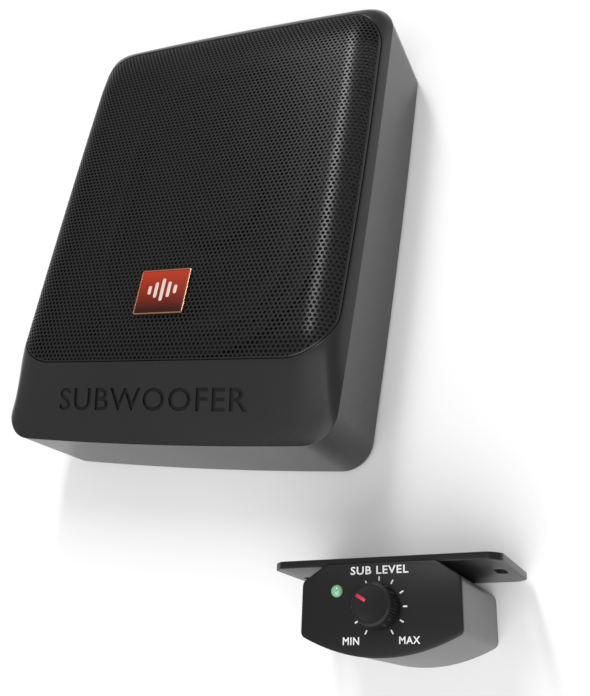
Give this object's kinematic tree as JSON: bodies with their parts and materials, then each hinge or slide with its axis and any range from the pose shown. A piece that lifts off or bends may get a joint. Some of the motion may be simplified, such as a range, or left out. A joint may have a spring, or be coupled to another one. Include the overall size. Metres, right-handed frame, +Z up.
{
  "type": "powered car subwoofer",
  "caption": "Compact under-seat powered subwoofer with a crowned perforated grille over an oval woofer, and a wired level remote with a knob, lamp and mounting plate.",
  "frame": {"origin": "middle of the enclosure's underside, on the base plate's lower face", "axes": "+X across the enclosure, +Y along it from the plain band to the connector panel, +Z up out of the grille"},
  "size_m": [0.2808, 0.355, 0.0727],
  "materials": {
    "shell_plastic": "satin moulded, fine texture",
    "black_plastic": "satin",
    "grille_mesh": "perforated steel, satin black powder coat",
    "dark_steel": "black zinc, satin",
    "bright_steel": "zinc plated",
    "rubber": "matt",
    "cone_pulp": "pressed paper pulp",
    "spider_cloth": "resin-dipped cotton",
    "copper": "enamelled wire",
    "ferrite": "ground ferrite",
    "badge_red": "gloss enamel on a metal plate",
    "board_green": "solder mask",
    "white_plastic": "satin",
    "red_plastic": "gloss",
    "green_lens": "clear green lens",
    "fuse_blue": "clear blue"
  },
  "bodies": {
    "enclosure": {"housing_shell": "shell_plastic", "base_plate": "dark_steel", "driver_basket": "dark_steel", "heat_spreader": "dark_steel", "base_screw_1": "bright_steel", "base_screw_2": "bright_steel", "base_screw_3": "bright_steel", "base_screw_4": "bright_steel", "base_screw_5": "bright_steel", "base_screw_6": "bright_steel", "driver_screw_1": "bright_steel", "driver_screw_2": "bright_steel", "driver_screw_3": "bright_steel", "driver_screw_4": "bright_steel", "top_plate": "bright_steel", "yoke": "bright_steel", "foot_1": "rubber", "foot_2": "rubber", "foot_3": "rubber", "foot_4": "rubber", "driver_gasket": "rubber", "surround": "rubber", "choke": "copper", "spider": "spider_cloth", "magnet": "ferrite", "grille": "grille_mesh", "badge": "badge_red", "connector_panel": "black_plastic", "capacitor_1": "black_plastic", "capacitor_2": "black_plastic", "power_transistor_1": "black_plastic", "power_transistor_2": "black_plastic", "power_socket": "white_plastic", "speaker_level_socket": "white_plastic", "remote_socket": "white_plastic", "rca_jack_left": "white_plastic", "rca_jack_right": "red_plastic", "power_lamp": "red_plastic", "fuse": "fuse_blue", "amplifier_board": "board_green"},
    "cone_assembly": {"cone": "cone_pulp", "dust_cap": "cone_pulp", "voice_coil": "copper"},
    "level_dial": {"level_dial": "black_plastic"},
    "crossover_dial": {"crossover_dial": "black_plastic"},
    "bass_boost_dial": {"bass_boost_dial": "black_plastic"},
    "phase_switch": {"phase_switch": "black_plastic"},
    "input_switch": {"input_switch": "black_plastic"},
    "remote": {"remote_face_plate": "black_plastic", "remote_housing": "black_plastic", "remote_cable_socket": "black_plastic", "remote_mount_plate": "black_plastic", "remote_pot": "bright_steel", "remote_pot_nut": "bright_steel", "remote_lamp": "green_lens", "remote_board": "board_green"},
    "remote_knob": {"remote_knob": "black_plastic", "remote_knob_pointer": "red_plastic", "remote_shaft": "bright_steel"}
  },
  "joints": [
    {"name": "cone_travel", "type": "slide", "parent": "enclosure", "child": "cone_assembly", "axis": [0, 0, 1], "range_m": [-0.004, 0.004], "stiffness_N_per_m": 4000, "deforming": ["surround", "spider"]},
    {"name": "level_dial_turn", "type": "hinge", "parent": "enclosure", "child": "level_dial", "pos_m": [-0.034, 0.12868, 0.025], "axis": [0, 1, 0], "range_deg": [-135, 135]},
    {"name": "crossover_dial_turn", "type": "hinge", "parent": "enclosure", "child": "crossover_dial", "pos_m": [-0.05, 0.12868, 0.025], "axis": [0, 1, 0], "range_deg": [-135, 135]},
    {"name": "bass_boost_dial_turn", "type": "hinge", "parent": "enclosure", "child": "bass_boost_dial", "pos_m": [-0.066, 0.12868, 0.025], "axis": [0, 1, 0], "range_deg": [-135, 135]},
    {"name": "phase_switch_slide", "type": "slide", "parent": "enclosure", "child": "phase_switch", "axis": [1, 0, 0], "range_m": [0, 0.003]},
    {"name": "input_switch_slide", "type": "slide", "parent": "enclosure", "child": "input_switch", "axis": [1, 0, 0], "range_m": [0, 0.003]},
    {"name": "remote_lift", "type": "slide", "parent": "enclosure", "child": "remote", "axis": [0, 0, 1], "range_m": [0, 0.15]},
    {"name": "remote_knob_turn", "type": "hinge", "parent": "remote", "child": "remote_knob", "pos_m": [0.1331, -0.1989, 0.06], "axis": [0, 0, 1], "range_deg": [-210, 90]}
  ]
}
